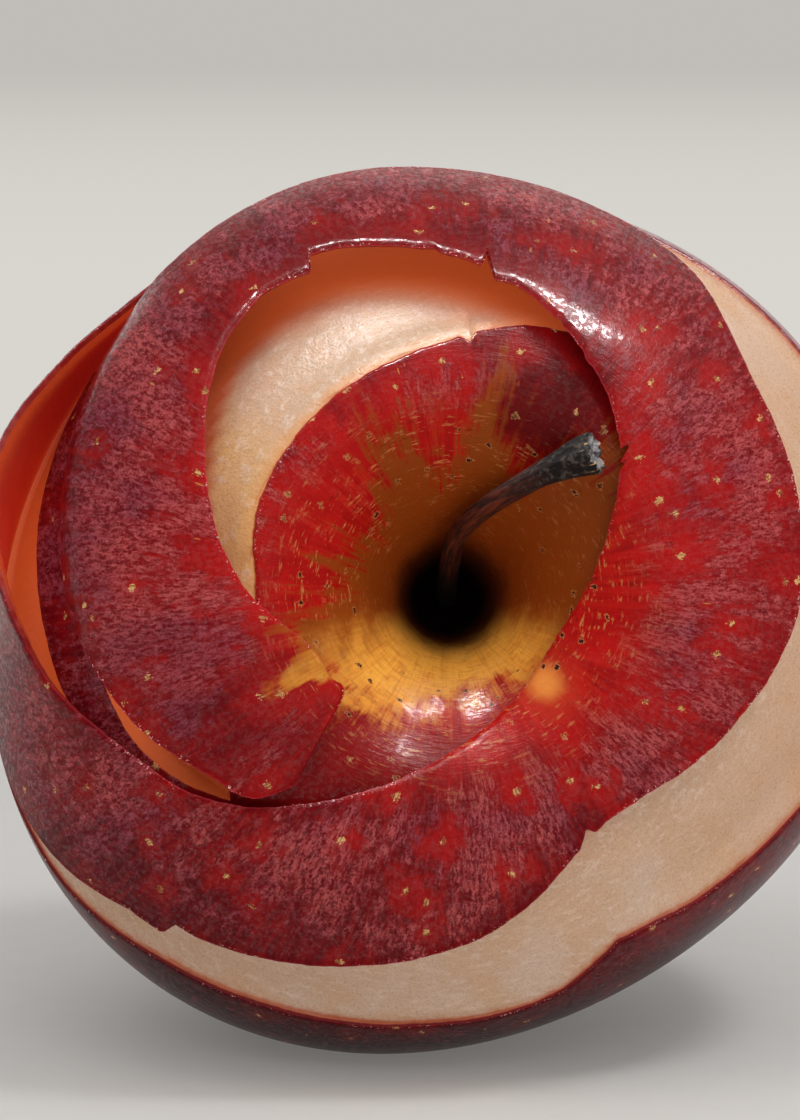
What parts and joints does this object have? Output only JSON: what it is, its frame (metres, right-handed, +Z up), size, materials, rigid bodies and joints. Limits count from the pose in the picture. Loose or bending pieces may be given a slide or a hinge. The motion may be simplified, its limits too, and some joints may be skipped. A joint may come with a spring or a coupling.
{
  "type": "spiral-peeled apple",
  "caption": "Whole red apple lying on its side, its peel cut off in a spiral and laid loosely back round the bare flesh, with the curved stem in its cavity.",
  "frame": {"origin": "middle of the outline seen from above, on the ground under the fruit", "axes": "+Z up; the stem end looks towards -Y and slightly up; +X is to the right of someone who looks at the stem end"},
  "size_m": [0.082, 0.0716, 0.0797],
  "materials": {
    "fruit": "satin",
    "peel": "gloss",
    "stalk": "matte"
  },
  "bodies": {
    "root": {"apple_body": "fruit", "peel_ribbon": "peel", "stem": "stalk"}
  },
  "joints": []
}
